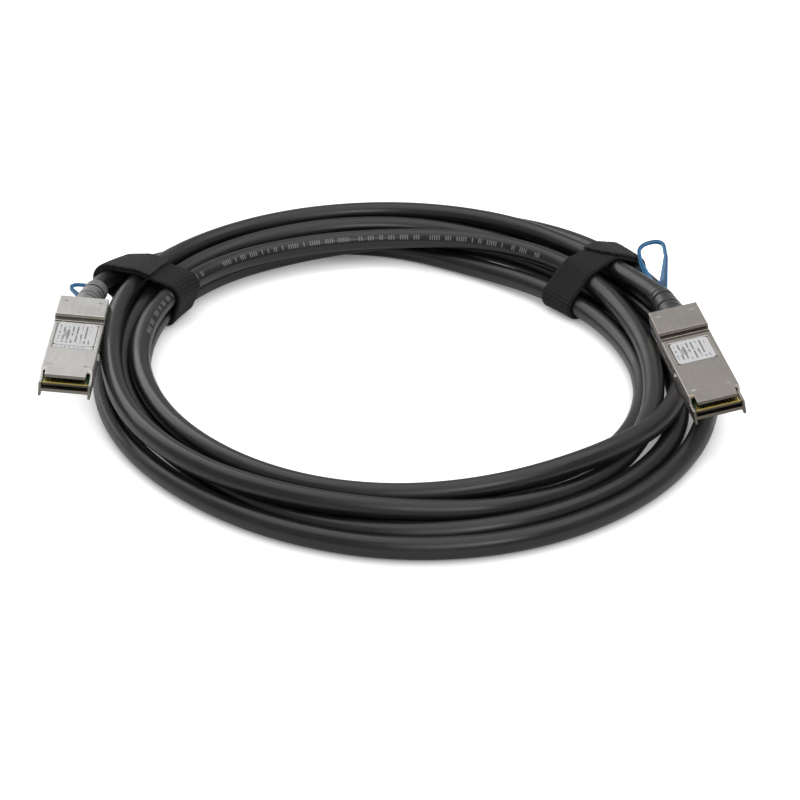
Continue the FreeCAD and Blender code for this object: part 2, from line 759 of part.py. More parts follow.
def main():
    os.makedirs("parts", exist_ok=True)
    nodes = {}
    for module in modules:
        nodes.update(module_nodes(module))
    nodes["coil"] = coil()
    for module, angle, inside in (("a", strap_a_angle, strap_a_inside),
                                  ("b", strap_b_angle, strap_b_inside)):
        nodes["lead_" + module] = lead(module, nodes["coil"])
        passage = tube(lead_route(module), cable_diameter + 2 * strap_gap, "passage_" + module)
        nodes["strap_" + module] = strap(angle, inside, passage)
    for name, shape in nodes.items():
        if not shape.isValid():
            print("not valid:", name)
        shape.exportStep(os.path.join("parts", name + ".step"))
    framed = Part.makeCompound([shape for name, shape in nodes.items()
                                if name not in ("coil", "lead_a", "lead_b")])
    bounds = framed.optimalBoundingBox(True, False)
    print("middle and underside of modules and straps:", bounds.Center, bounds.ZMin)
    print(len(nodes), "nodes")


main()
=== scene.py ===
import math
import bpy
import bmesh
import numpy as np
from mathutils import Matrix, Vector


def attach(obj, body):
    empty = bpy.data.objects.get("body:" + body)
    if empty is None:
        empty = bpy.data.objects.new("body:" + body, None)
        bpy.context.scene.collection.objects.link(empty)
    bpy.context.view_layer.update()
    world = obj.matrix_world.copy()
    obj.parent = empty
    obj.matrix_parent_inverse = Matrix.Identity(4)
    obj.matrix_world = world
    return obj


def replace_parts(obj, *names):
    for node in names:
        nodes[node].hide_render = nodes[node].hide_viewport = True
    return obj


# Direct attach cable: a wound black cord, two plugs, two hook-and-loop straps. Sizes are millimetres.
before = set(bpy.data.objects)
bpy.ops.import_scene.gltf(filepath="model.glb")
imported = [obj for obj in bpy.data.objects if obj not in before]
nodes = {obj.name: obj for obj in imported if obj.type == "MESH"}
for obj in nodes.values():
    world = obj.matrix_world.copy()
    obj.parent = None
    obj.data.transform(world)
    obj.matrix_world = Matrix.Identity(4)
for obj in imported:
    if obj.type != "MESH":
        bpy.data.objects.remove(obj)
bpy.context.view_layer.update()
mm = 0.001
mainBody = "cable_and_modules"
print("frame loaded")

# A plug lies by its tail's middle and three turns in degrees.
plugSize = dict(width=18.35, length=71.0, lowHeight=8.5, tailHeight=10.4)
plugs = {
    "a": dict(tail=(-116.05, 9.91, 12.65), yaw=0.8, pitch=-4.4, roll=5.9),
    "b": dict(tail=(107.22, -3.35, 15.38), yaw=7.3, pitch=-0.9, roll=-11.0),
}


def placedMatrix(place):
    # From a plug's own axes (across, back, up) to how it lies: roll, then pitch, then yaw.
    turn = Matrix.Rotation(math.radians(place["yaw"]), 3, "Z")
    turn = turn @ Matrix.Rotation(math.radians(place["pitch"]), 3, "X")
    turn = turn @ Matrix.Rotation(math.radians(place["roll"]), 3, "Y")
    return np.array(turn)


for spec in plugs.values():
    spec["turn"] = placedMatrix(spec)
    spec["nose"] = np.array(spec["tail"]) - spec["turn"] @ np.array([0, plugSize["length"], 0])


def toFrame(points, plug):
    # A plug's own millimetres to the frame's: turned, then moved by its nose.
    return np.asarray(points, float) @ plugs[plug]["turn"].T + plugs[plug]["nose"]


def toPlug(points, plug):
    # The other way: the frame's millimetres to a plug's own.
    return (np.asarray(points, float) - plugs[plug]["nose"]) @ plugs[plug]["turn"]


def unit(rows):
    # Each vector over its own length.
    return rows / np.maximum(np.linalg.norm(rows, axis=-1, keepdims=True), 1e-12)


def runAlong(line):
    # Distance along a line of points: the sum of the steps so far.
    return np.concatenate([[0.0], np.cumsum(np.linalg.norm(np.diff(line, axis=0), axis=1))])


def sampled(line, run, distance):
    # The line's points at distances along it, straight between neighbours.
    return np.stack([np.interp(distance, run, line[:, axis]) for axis in range(line.shape[1])], -1)


def evenly(points, count):
    # So many points evenly spaced along a closed outline, and the outline's length.
    closed = np.vstack([points, points[:1]])
    run = runAlong(closed)
    return sampled(closed, run, np.linspace(0, run[-1], count + 1)[:-1]), run[-1]


def smoothStep(value, low, high):
    # From 0 at low to 1 at high, three squares less two cubes of the share.
    share = np.clip((value - low) / (high - low), 0, 1)
    return share * share * (3 - 2 * share)


def gridFaces(rows, columns, wrapRows=False, wrapColumns=False):
    # Quads between neighbours of a grid, joined round where it wraps.
    index = np.arange(rows * columns).reshape(rows, columns)
    right = np.roll(index, -1, 1)
    quads = np.stack([index, right, np.roll(right, -1, 0), np.roll(index, -1, 0)], -1)
    return quads[:rows - 1 + wrapRows, :columns - 1 + wrapColumns].reshape(-1, 4)


def linked(name, data):
    piece = bpy.data.objects.new(name, data)
    bpy.context.scene.collection.objects.link(piece)
    return piece


def meshObject(name, points, faces, material, body, uv=None, outward=True):
    # A smooth mesh in metres from points in millimetres; its faces are turned outwards.
    mesh = bpy.data.meshes.new(name)
    places = np.asarray(points, float).reshape(-1, 3) * mm
    mesh.from_pydata(places.tolist(), [], [list(face) for face in faces])
    if uv is not None:
        layer = mesh.uv_layers.new(name="UVMap")
        corner = np.zeros(len(mesh.loops), np.int32)
        mesh.loops.foreach_get("vertex_index", corner)
        layer.data.foreach_set("uv", np.asarray(uv, float).reshape(-1, 2)[corner].ravel())
    if outward:
        work = bmesh.new()
        work.from_mesh(mesh)
        bmesh.ops.recalc_face_normals(work, faces=work.faces)
        work.to_mesh(mesh)
        work.free()
    mesh.shade_smooth()
    mesh.materials.append(material)
    piece = linked(name, mesh)
    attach(piece, body)
    return piece


def addSpline(curve, kind, points):
    # One spline through points of three columns, with an even weight.
    spline = curve.splines.new(kind)
    spline.points.add(len(points) - 1)
    spline.points.foreach_set("co", np.concatenate([points, np.ones((len(points), 1))], 1).ravel())
    return spline


def shapedPoints(piece):
    # A curve's own points and faces, as the modelling gives them.
    bpy.context.view_layer.update()
    mesh = bpy.data.meshes.new_from_object(piece.evaluated_get(bpy.context.evaluated_depsgraph_get()))
    points = np.zeros(len(mesh.vertices) * 3)
    mesh.vertices.foreach_get("co", points)
    faces = [list(face.vertices) for face in mesh.polygons]
    bpy.data.meshes.remove(mesh)
    return points.reshape(-1, 3), faces


def put(tree, socket, value):
    # A number, colour or vector is set on the socket; a node's output is wired to it.
    if not isinstance(value, (int, float, tuple)):
        tree.links.new(value, socket)
    elif socket.type == "RGBA":
        socket.default_value = (*value, 1.0)
    else:
        socket.default_value = value


def putAll(tree, sockets, **values):
    # Each into the socket of its name, with spaces for underscores.
    for label, value in values.items():
        put(tree, sockets[label.replace("_", " ")], value)


def addNode(tree, kind, sockets=None, **settings):
    node = tree.nodes.new("ShaderNode" + kind)
    for label, value in settings.items():
        setattr(node, label, value)
    for label, value in (sockets or {}).items():
        put(tree, node.inputs[label], value)
    return node


def mathNode(tree, operation, *values, clamp=False):
    return addNode(tree, "Math", dict(enumerate(values)), operation=operation, use_clamp=clamp).outputs[0]


def times(tree, first, *others):
    for value in others:
        first = mathNode(tree, "MULTIPLY", first, value)
    return first


def larger(tree, first, *others):
    for value in others:
        first = mathNode(tree, "MAXIMUM", first, value)
    return first


def stripes(tree, value, perMetre):
    # A wave from -1 to 1, so many to the metre.
    return mathNode(tree, "SINE", times(tree, value, perMetre * 2 * math.pi))


def rampNode(tree, value, low, high, outLow=0.0, outHigh=1.0, smooth=True):
    given = {"Value": value, "From Min": low, "From Max": high, "To Min": outLow, "To Max": outHigh}
    kind = "SMOOTHSTEP" if smooth else "LINEAR"
    return addNode(tree, "MapRange", given, interpolation_type=kind).outputs["Result"]


def windowMask(tree, value, low, high, soft=0.0001):
    # 1 between low and high, 0 outside, with soft ends.
    rising = rampNode(tree, value, low - soft, low + soft)
    return times(tree, rising, rampNode(tree, value, high - soft, high + soft, 1.0, 0.0))


def mixColour(tree, mask, first, second, strength=1.0):
    # The second colour over the first, by the mask at a strength.
    share = times(tree, mask, strength)
    return addNode(tree, "Mix", {0: share, 6: first, 7: second}, data_type="RGBA").outputs[2]


def noiseNode(tree, vector, scale, detail=3.0, roughness=0.55):
    given = dict(Vector=vector, Scale=scale, Detail=detail, Roughness=roughness)
    return addNode(tree, "TexNoise", given).outputs["Fac"]


def vectorNode(tree, operation, *values):
    return addNode(tree, "VectorMath", dict(enumerate(values)), operation=operation).outputs


def axes(tree, vector):
    return addNode(tree, "SeparateXYZ", {0: vector}).outputs


def bumpNode(tree, height, strength, distance, **normal):
    given = dict(Strength=strength, Distance=distance, Height=height, **normal)
    return addNode(tree, "Bump", given).outputs["Normal"]


def newGroup(name, inputs, outputs):
    # Each socket has a default, a number or a vector.
    group = bpy.data.node_groups.new(name, "ShaderNodeTree")
    for end, sockets in (("INPUT", inputs), ("OUTPUT", outputs)):
        for label, value in sockets.items():
            kind = "NodeSocketFloat" if isinstance(value, float) else "NodeSocketVector"
            socket = group.interface.new_socket(name=label, in_out=end, socket_type=kind)
            socket.default_value = value
    return group, group.nodes.new("NodeGroupInput").outputs, group.nodes.new("NodeGroupOutput").inputs


anyVector = (0.0, 0.0, 0.0)


def makeHandling():
    # Handling marks: large soft smudges, and fine specks at 22 times their scale, each from 0 to 1.
    group, given, out = newGroup("handlingMarks", dict(Vector=anyVector, Scale=40.0),
                                 dict(Smudge=0.0, Speck=0.0))
    soft = noiseNode(group, given["Vector"], given["Scale"], 4.0, 0.6)
    put(group, out["Smudge"], rampNode(group, soft, 0.38, 0.68))
    fine = noiseNode(group, given["Vector"], times(group, given["Scale"], 22.0), 2.0, 0.7)
    put(group, out["Speck"], rampNode(group, fine, 0.66, 0.74))
    return group


def makeEdgeWear():
    # Edges: how far the rounded normal leaves the face's own, broken by noise.
    group, given, out = newGroup("edgeWear", dict(Vector=anyVector, Radius=0.0004, Break=400.0),
                                 dict(Mask=0.0, Normal=anyVector))
    rounded = addNode(group, "Bevel", {"Radius": given["Radius"]}, samples=6).outputs[0]
    own = addNode(group, "NewGeometry").outputs["Normal"]
    facing = vectorNode(group, "DOT_PRODUCT", rounded, own)["Value"]
    away = mathNode(group, "SUBTRACT", 1.0, facing, clamp=True)
    broken = rampNode(group, noiseNode(group, given["Vector"], given["Break"], 3.0, 0.6), 0.3, 0.62, 2.0, 9.0)
    put(group, out["Mask"], mathNode(group, "MULTIPLY", away, broken, clamp=True))
    put(group, out["Normal"], rounded)
    return group


def makeGrain():
    # Grain as a height: noise drawn out along one axis, with less of an even noise.
    group, given, out = newGroup("fineGrain", dict(Vector=anyVector, Scale=900.0, Stretch=anyVector),
                                 dict(Height=0.0))
    drawnOut = vectorNode(group, "MULTIPLY", given["Vector"], given["Stretch"])[0]
    drawn = noiseNode(group, drawnOut, given["Scale"], 4.0, 0.6)
    even = noiseNode(group, given["Vector"], times(group, given["Scale"], 1.7), 3.0, 0.6)
    put(group, out["Height"], mathNode(group, "MULTIPLY_ADD", drawn, 0.7, times(group, even, 0.3)))
    return group


def makeWeave():
    # Loop pile: two crossing waves over the strip's own map give small diamonds, with noise added; the mask
    # of the highest loops is for a painted sheen.
    group, given, out = newGroup("loopWeave", dict(Map=anyVector, Threads=1.0), dict(Height=0.0, PaintedSheen=0.0))
    along, across = (times(group, value, given["Threads"]) for value in axes(group, given["Map"])[:2])
    first = mathNode(group, "SINE", mathNode(group, "ADD", along, across))
    second = mathNode(group, "SINE", mathNode(group, "SUBTRACT", along, across))
    fuzz = noiseNode(group, given["Map"], times(group, given["Threads"], 0.9), 3.0, 0.7)
    height = mathNode(group, "MULTIPLY_ADD", times(group, first, second), 0.5, fuzz)
    put(group, out["Height"], height)
    put(group, out["PaintedSheen"], rampNode(group, height, 0.2, 0.7))
    return group


handlingGroup = makeHandling()
edgeGroup = makeEdgeWear()
grainGroup = makeGrain()
weaveGroup = makeWeave()


def newMaterial(name, colour, roughness, metallic=0.0, **others):
    material = bpy.data.materials.new(name)
    material.use_nodes = True
    tree = material.node_tree
    shader = next(node for node in tree.nodes if node.type == "BSDF_PRINCIPLED").inputs
    putAll(tree, shader, Base_Color=colour, Roughness=roughness, Metallic=metallic, **others)
    return material, tree, shader


def objectPlace(tree, plug=None):
    # Object coordinates, or with a plug named its own, from its nose.
    place = addNode(tree, "TexCoord").outputs["Object"]
    if plug is None:
        return place
    back = Matrix(plugs[plug]["turn"].tolist()).transposed()
    shift = back @ Vector((plugs[plug]["nose"] * -mm).tolist())
    given = dict(Vector=place, Location=tuple(shift), Rotation=tuple(back.to_euler("XYZ")))
    return addNode(tree, "Mapping", given, vector_type="POINT").outputs["Vector"]


def useGroup(tree, group, **values):
    return addNode(tree, "Group", values, node_tree=group).outputs


evenStretch = (1.0, 1.0, 1.0)
jacketLook = dict(colour=(0.0065, 0.0062, 0.0064), scuffed=(0.014, 0.0135, 0.0135), roughness=(0.27, 0.40),
                  smudgeScale=28.0, grain=1500.0, grainDepth=0.00002)


def makeJacket():
    look = jacketLook
    material, tree, shader = newMaterial("jacketBlack", look["colour"], look["roughness"][1])
    place = objectPlace(tree)
    smudge = useGroup(tree, handlingGroup, Vector=place, Scale=look["smudgeScale"])["Smudge"]
    grain = useGroup(tree, grainGroup, Vector=place, Scale=look["grain"], Stretch=evenStretch)["Height"]
    putAll(tree, shader, Base_Color=mixColour(tree, smudge, look["colour"], look["scuffed"], 0.5),
           Roughness=rampNode(tree, smudge, 0.0, 1.0, *look["roughness"]),
           Normal=bumpNode(tree, grain, 0.35, look["grainDepth"]))
    return material


jacketBlack = makeJacket()
print("shared effects and jacket made")


# The wound cord: turns round an oval, clear of the plugs and lifted where a strap passes under them.
cordSpec = dict(diameter=7.8, centre=(3.94, -17.97), halfWidth=101.2, halfDepth=114.7, firstAngle=135.0,
                stepAngle=22.5, samplesPerPoint=4, rounds=420, room=1.012, aboveFloor=0.15, strapLift=1.9)
cordRadius = cordSpec["diameter"] / 2
strapSpec = {
    "a": dict(angle=150.2, lapStart=0.36, lapEnd=0.66, slant=0.03, lift=1.6, seed=11),
    "b": dict(angle=39.0, lapStart=0.30, lapEnd=0.62, slant=0.05, lift=1.4, seed=12),
}
# Each turn from the back left, clockwise: how far outside the middle oval, and how high.
turns = [
    [(21, 9.5), (25, 6), (23.5, 5.5), (19, 10), (9.5, 16), (8.8, 11.5), (13, 4.5), (13.3, 3.9), (11, 3.9),
     (10.5, 3.9), (7.5, 3.9), (2.8, 3.9), (1.2, 3.9), (5.5, 3.9), (8.3, 3.9), (14.5, 3.9)],
    [(14.5, 3.9), (11.5, 3.9), (3, 3.9), (-13.5, 3.9), (-19, 3.9), (-14.5, 3.9), (-9, 3.9), (-7, 3.9),
     (-13, 3.9), (-15, 3.9), (-12.5, 3.9), (-12, 3.9), (-15, 3.9), (-9, 3.9), (-3, 3.9), (2, 3.9)],
    [(4.5, 3.9), (3, 3.9), (-3, 7), (-4.5, 8), (-7.5, 7.5), (-3, 4), (3.5, 3.9), (5.2, 4.5), (1, 5),
     (2, 6.5), (-0.5, 6), (-4.5, 4), (-9.5, 6), (-4.3, 10.7), (1.7, 11), (6, 11)],
    [(8.5, 11), (3.5, 11), (-1, 11), (2.5, 8.5), (1.5, 6), (3, 8), (2, 9.5), (1, 14), (-5, 14),
     (-13, 11.5), (-15, 11), (-14, 11), (-13, 11), (-5.5, 10), (-1.5, 10.8), (0.5, 11)],
    [(0.5, 11), (-6, 11), (-11.5, 11), (-7, 12), (-5, 12.5), (-11.5, 10.7), (-8, 10.7), (-3, 9.5),
     (-0.5, 5), (-3, 7), (-7, 10.7), (-6, 11.3), (-1, 11.7), (3.5, 11.7), (5.8, 11.5), (11.4, 12)],
    [(17.5, 13), (17.5, 14), (14, 14.5), (8.5, 14.5), (5, 15)],
]
# The two leads: straight out of each plug in its own axes, then round into the first and last turn.
leadPoints = {"a": [(0, 63.0, 5.2), (0.1, 76.0, 5.2), (2.0, 88.0, 5.2)],
              "b": [(-1.0, 94.0, 5.4), (0, 80.0, 5.2), (0, 63.0, 5.2)]}
leadMiddle = {"a": [(-111.4, 40.5, 15.2), (-103.8, 52.5, 13.8), (-94.2, 64.5, 11.8)],
              "b": [(89.3, 48.0, 16.8)]}


def ovalPoint(angles, outward=0.0, height=0.0):
    # A point so far outside the middle oval: centre + half axes by cosine and sine + outward normal.
    turn = np.radians(angles)
    a, b = cordSpec["halfWidth"], cordSpec["halfDepth"]
    normal = unit(np.stack([np.cos(turn) / a, np.sin(turn) / b], -1))
    middle = np.stack([a * np.cos(turn), b * np.sin(turn)], -1) + np.array(cordSpec["centre"])
    flat = middle + normal * np.reshape(outward, (-1, 1))
    return np.column_stack([flat, np.broadcast_to(height, len(flat))])


def outOfPlugs(points):
    # Pushes points out of each plug's box, grown by the cord's radius, by its nearest side.
    grown = cordRadius + 0.5
    low = np.array([-plugSize["width"] / 2 - grown, -2.0, -1.6 - grown])
    high = np.array([plugSize["width"] / 2 + grown, plugSize["length"] + 4, plugSize["tailHeight"] + grown])
    moved = points.copy()
    for plug in plugs:
        local = toPlug(moved, plug)
        inside = np.all((local > low) & (local < high), axis=1)
        part = local[inside]
        gaps = np.stack([part[:, 0] - low[0], high[0] - part[:, 0], part[:, 2] - low[2]], 1)
        side = np.argmin(gaps, axis=1)
        part[side == 0, 0] = low[0]
        part[side == 1, 0] = high[0]
        part[side == 2, 2] = low[2]
        moved[inside] = toFrame(part, plug)
    return moved


def sharpened(points):
    # Moved out by an eighth of the bend, so that the spline runs through the laid places.
    moved = points.copy()
    moved[1:-1] -= (points[:-2] - 2 * points[1:-1] + points[2:]) / 8
    return moved


def settled(target, base, floorHeight):
    # Turns pushed apart where they meet, smoothed against the oval and kept near where they were laid.
    per = cordSpec["samplesPerPoint"]
    share = np.arange(per) / per
    count = len(target)
    owner = np.repeat(np.arange(count - 1), per)
    along = np.tile(share, count - 1)
    order = np.arange(len(owner))
    distant = np.abs(order[:, None] - order[None, :]) > per * 4
    points = target.copy()
    for step in range(cordSpec["rounds"]):
        samples = points[:-1, None] * (1 - share)[:, None] + points[1:, None] * share[:, None]
        samples = samples.reshape(-1, 3)
        apart = samples[:, None] - samples[None, :]
        length = np.sqrt((apart ** 2).sum(-1)) + 1e-9
        push = np.where(distant, np.maximum(cordSpec["diameter"] * cordSpec["room"] - length, 0) / 2, 0)
        move = (apart * (push / length)[..., None]).sum(1)
        clear = outOfPlugs(samples)
        move += clear - samples
        touched = (push > 0).sum(1) + (np.abs(clear - samples).sum(1) > 0)
        pull = np.zeros_like(points)
        weight = np.zeros(count)
        for end, part in ((owner, 1 - along), (owner + 1, along)):
            np.add.at(pull, end, move * part[:, None])
            np.add.at(weight, end, touched * part)
        points += 0.8 * pull / np.maximum(weight, 1)[:, None]
        late = step > cordSpec["rounds"] * 0.75
        bend = np.zeros_like(points)
        off = points - base
        bend[2:-2] = -(off[:-4] - 4 * off[1:-3] + 6 * off[2:-2] - 4 * off[3:-1] + off[4:]) / 16
        points += (0.08 if late else 0.3) * bend
        points += (0.015 if late else 0.04) * (target - points)
        points[:, 2] = np.maximum(points[:, 2], floorHeight)
    return points


def layCord():
    stations = np.array([pair for turn in turns for pair in turn], float)
    angles = cordSpec["firstAngle"] - cordSpec["stepAngle"] * np.arange(len(stations))
    laid = ovalPoint(angles, stations[:, 0], stations[:, 1])
    floorHeight = np.full(len(laid), cordRadius + cordSpec["aboveFloor"])
    for strap in strapSpec.values():
        off = np.abs((angles - strap["angle"] + 180) % 360 - 180)
        lift = cordSpec["strapLift"] * np.clip(1.6 - off / 20, 0, 1)
        floorHeight = np.maximum(floorHeight, cordRadius + lift)
    wound = sharpened(settled(laid, ovalPoint(angles), floorHeight))
    return np.vstack([toFrame(leadPoints["a"], "a"), leadMiddle["a"], wound, leadMiddle["b"],
                      toFrame(leadPoints["b"], "b")])


def makeCord():
    curve = bpy.data.curves.new("cordCoil", "CURVE")
    curve.dimensions = "3D"
    spline = addSpline(curve, "NURBS", layCord() * mm)
    spline.order_u = 3
    spline.use_endpoint_u = True
    spline.resolution_u = curve.resolution_u = curve.render_resolution_u = 12
    return linked("cordCoil", curve)


cord = makeCord()
cordLine = shapedPoints(cord)[0] / mm  # read before the curve gets its thickness
cordRun = runAlong(cordLine)
cord.data.bevel_depth = cordRadius * mm
cord.data.bevel_resolution = 9
cord.data.use_fill_caps = True
cord.data.materials.append(jacketBlack)
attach(cord, mainBody)
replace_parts(cord, "coil", "lead_a", "lead_b")


def lineAt(distance):
    # Points at distances along the cord's line, and its direction from 1 mm before to 1 mm after.
    ahead, behind = (sampled(cordLine, cordRun, np.asarray(distance) + step) for step in (1.0, -1.0))
    return sampled(cordLine, cordRun, distance), unit(ahead - behind)


# Printed line along the jacket: short bars that stand for any print, leaning by tilt in degrees.
legendSpec = dict(firstAngle=173.0, lastAngle=52.0, turn=4, bar=0.42, pitch=0.95, tall=1.9, tilt=(46.0, 26.0),
                  above=0.03, across=5, ink=(0.20, 0.20, 0.20), seed=5)


def makeLegend():
    # Patches of a tube just wider than the cord: point + radius by (side by cosine + up by sine).
    spec = legendSpec
    middle = np.array(cordSpec["centre"])
    swept = np.unwrap(np.arctan2((cordLine[:, 1] - middle[1]) / cordSpec["halfDepth"],
                                 (cordLine[:, 0] - middle[0]) / cordSpec["halfWidth"]))
    wanted = np.radians([spec["firstAngle"], spec["lastAngle"]]) - 2 * math.pi * spec["turn"]
    first, last = np.interp(-wanted, -swept, cordRun)
    seed = np.random.default_rng(spec["seed"])
    places = np.arange(first, last, spec["pitch"])
    gaps = np.cumsum(seed.integers(2, 8, len(places)))
    places = places[~np.isin(np.arange(len(places)), np.concatenate([gaps, gaps + 1]))]
    reach = cordRadius + spec["above"]
    half = math.degrees(spec["tall"] / 2 / reach)
    tilt = np.interp(places, [first, last], spec["tilt"])
    angle = np.radians(tilt[:, None] + np.linspace(-half, half, spec["across"]))[:, None, :, None]
    point, tangent = lineAt(np.stack([places - spec["bar"] / 2, places + spec["bar"] / 2], 1))
    side = unit(np.stack([tangent[..., 1], -tangent[..., 0], np.zeros(tangent.shape[:2])], -1))
    side = side * np.sign((side[..., :2] * (middle - point[..., :2])).sum(-1))[..., None]
    up = unit(np.cross(side, tangent))
    up = up * np.sign(up[..., 2:])
    grid = point[:, :, None] + (side[:, :, None] * np.cos(angle) + up[:, :, None] * np.sin(angle)) * reach
    starts = np.arange(len(places))[:, None, None] * 2 * spec["across"]
    faces = (gridFaces(2, spec["across"])[:, ::-1] + starts).reshape(-1, 4)
    ink = newMaterial("legendInk", spec["ink"], 0.5)[0]
    return meshObject("cordLegend", grid, faces, ink, mainBody, outward=False)


legend = makeLegend()
print("cord laid, millimetres:", round(float(cordRun[-1])))


# Plug cases: nickel on the casting, with painted shade in the step's groove, on its slope, in the recess and
# in front.
# Both plugs are one nickel: plug A's tones are painted lighter and plug B's darker, painted light for how
# each is lit.
shellLook = {
    "a": dict(base=(0.80, 0.785, 0.76), dull=(0.60, 0.585, 0.56), shadeAndSpeck=(0.10, 0.083, 0.06),
              worn=(0.92, 0.90, 0.87)),
    "b": dict(base=(0.435, 0.405, 0.375), dull=(0.31, 0.285, 0.26), shadeAndSpeck=(0.085, 0.07, 0.052),
              worn=(0.66, 0.63, 0.59)),
}
# Where the painted shade lies, in metres from the nose: (from, to) along, up or across.
shellParts = dict(
    groove=(0.0497, 0.0523), grooveAbove=0.0078, slope=(0.05215, 0.0533), slopeUp=(0.0089, 0.01035),
    recess=(0.0245, 0.0491), recessUp=(0.0080, 0.00841), recessAcross=(-0.0078, 0.0078),
    frontEnd=0.00015, step=0.0001, soft=0.00008, fine=0.00003,
)


def wornMaterial(name, colour, roughness, sizes, bump, stretch=evenStretch, plug=None, **others):
    # Handling marks, worn edges and grain, with their sizes in that order; bump is strength and depth.
    material, tree, shader = newMaterial(name, colour, roughness, **others)
    place = objectPlace(tree, plug)
    marksAt, radius, grainAt = sizes
    marks = useGroup(tree, handlingGroup, Vector=place, Scale=marksAt)
    edge = useGroup(tree, edgeGroup, Vector=place, Radius=radius)
    grain = useGroup(tree, grainGroup, Vector=place, Scale=grainAt, Stretch=stretch)["Height"]
    putAll(tree, shader, Normal=bumpNode(tree, grain, *bump, Normal=edge["Normal"]))
    return material, tree, shader, place, marks, edge["Mask"], grain


def makeShell(plug):
    look, parts = shellLook[plug], shellParts
    material, tree, shader, place, marks, edge, grain = wornMaterial(
        "nickelShell" + plug.upper(), look["base"], 0.32, (70.0, 0.00028, 1300.0), (0.25, 0.00002),
        (1.0, 0.06, 1.0), plug, metallic=1.0)
    across, back, up = axes(tree, place)

    def within(value, part, soft=parts["soft"]):
        return windowMask(tree, value, *parts[part], soft)

    above, frontEnd, step = parts["grooveAbove"], parts["frontEnd"], parts["step"]
    # The groove, the step's slope and the label recess get painted shade in the dark bronze tone that the
    # specks also use.
    groove = times(tree, within(back, "groove"), rampNode(tree, up, above, above + step))
    slope = times(tree, within(back, "slope"), within(up, "slopeUp"))
    recess = times(tree, within(up, "recessUp", parts["fine"]), within(back, "recess"),
                   within(across, "recessAcross"))
    # The front faces at the nose get painted shade too.
    front = rampNode(tree, back, frontEnd - step, frontEnd, 1.0, 0.0)
    paintedShade = larger(tree, groove, slope, recess)
    colour = look["base"]
    # Smudges, specks and worn edges are marks on the metal; the shaded parts and the front are painted shade.
    for mask, strength, tone in ((marks["Smudge"], 0.55, "dull"), (marks["Speck"], 0.25, "shadeAndSpeck"),
                                 (paintedShade, 0.92, "shadeAndSpeck"), (edge, 0.8, "worn"),
                                 (front, 0.85, "shadeAndSpeck")):
        colour = mixColour(tree, mask, colour, look[tone], strength)
    rough = rampNode(tree, grain, 0.3, 0.7, 0.27, 0.37)
    rough = mathNode(tree, "MULTIPLY_ADD", marks["Smudge"], 0.10, rough)
    putAll(tree, shader, Base_Color=colour, Roughness=mathNode(tree, "MULTIPLY_ADD", paintedShade, 0.12, rough))
    return material


def makeMetal(name, base, dull, roughness, grainAt=1500.0, stretch=evenStretch):
    material, tree, shader, _, marks, _, grain = wornMaterial(
        name, base, roughness, (160.0, 0.00015, grainAt), (0.2, 0.00002), stretch, metallic=1.0)
    putAll(tree, shader, Base_Color=mixColour(tree, marks["Smudge"], base, dull, 0.7),
           Roughness=rampNode(tree, grain, 0.3, 0.7, roughness - 0.06, roughness + 0.08))
    return material


def makeMoulded(name, colour, worn, roughness, grainAt, depth, coat=0.0, marksAt=60.0):
    material, tree, shader, _, marks, edge, _ = wornMaterial(
        name, colour, roughness, (marksAt, 0.0002, grainAt), (0.3, depth), Coat_Weight=coat,
        Coat_Roughness=0.2)
    smudge = marks["Smudge"]
    share = larger(tree, times(tree, smudge, 0.45), times(tree, edge, 0.5))
    putAll(tree, shader, Base_Color=mixColour(tree, share, colour, worn),
           Roughness=rampNode(tree, smudge, 0.0, 1.0, roughness, roughness + 0.1))
    return material


# Stickers, in metres: rear edge and length of each, the printed width, and one barred block.
labelLook = dict(
    paper=(0.58, 0.58, 0.59), soiled=(0.50, 0.50, 0.50), ink=(0.08, 0.08, 0.09), rows=620.0, dashes=1000.0,
    bars=1500.0, width=(-0.0062, 0.0060), blockWidth=(-0.0045, -0.0022), rear=dict(a=0.0486, b=0.0468),
    length=dict(a=0.0204, b=0.0168),
)


def makeLabel(plug):
    # Rows of short grey dashes stand for small print: stripes, broken into cells and lanes.
    look = labelLook
    material, tree, shader = newMaterial("labelPaper" + plug.upper(), look["paper"], 0.42)
    place = objectPlace(tree, plug)
    across, back, _ = axes(tree, place)
    rear, length = look["rear"][plug], look["length"][plug]
    front = rear - length
    row = rampNode(tree, stripes(tree, across, look["rows"]), 0.25, 0.5)
    cells = vectorNode(tree, "MULTIPLY", place, (look["rows"], look["dashes"], 0.0))[0]
    cells = vectorNode(tree, "FLOOR", cells)[0]
    cells = addNode(tree, "TexWhiteNoise", {"Vector": cells}, noise_dimensions="2D").outputs["Value"]
    lanes = noiseNode(tree, vectorNode(tree, "MULTIPLY", place, (420.0, 90.0, 0.0))[0], 1.0, 1.0, 0.4)
    printed = larger(tree, windowMask(tree, back, front + 0.002, rear - 0.0018),
                     windowMask(tree, back, front - 0.0021, front - 0.0011))
    dash = times(tree, row, rampNode(tree, cells, 0.22, 0.28), rampNode(tree, lanes, 0.38, 0.46),
                 windowMask(tree, across, *look["width"]), printed)
    block = times(tree, windowMask(tree, across, *look["blockWidth"]),
                  windowMask(tree, back, rear - length * 0.62, rear - length * 0.34),
                  rampNode(tree, stripes(tree, back, look["bars"]), -0.3, 0.0))
    smudge = useGroup(tree, handlingGroup, Vector=place, Scale=120.0)["Smudge"]
    colour = mixColour(tree, smudge, look["paper"], look["soiled"], 0.3)
    putAll(tree, shader, Base_Color=mixColour(tree, larger(tree, dash, block), colour, look["ink"], 0.8),
           Roughness=rampNode(tree, smudge, 0.0, 1.0, 0.36, 0.5))
    return material


# Card: solder mask over fine tracks, a bare edge face made very dark with painted shade, and plated pads'
# strip in front, in metres.
boardLook = dict(
    mask=(0.008, 0.055, 0.024), track=(0.014, 0.09, 0.04), plated=(0.50, 0.38, 0.10),
    core=(0.035, 0.030, 0.012), tracks=1250.0, platedEnd=0.00075, faceEnd=0.00045, topLevel=0.00512,
    step=0.0001,
)


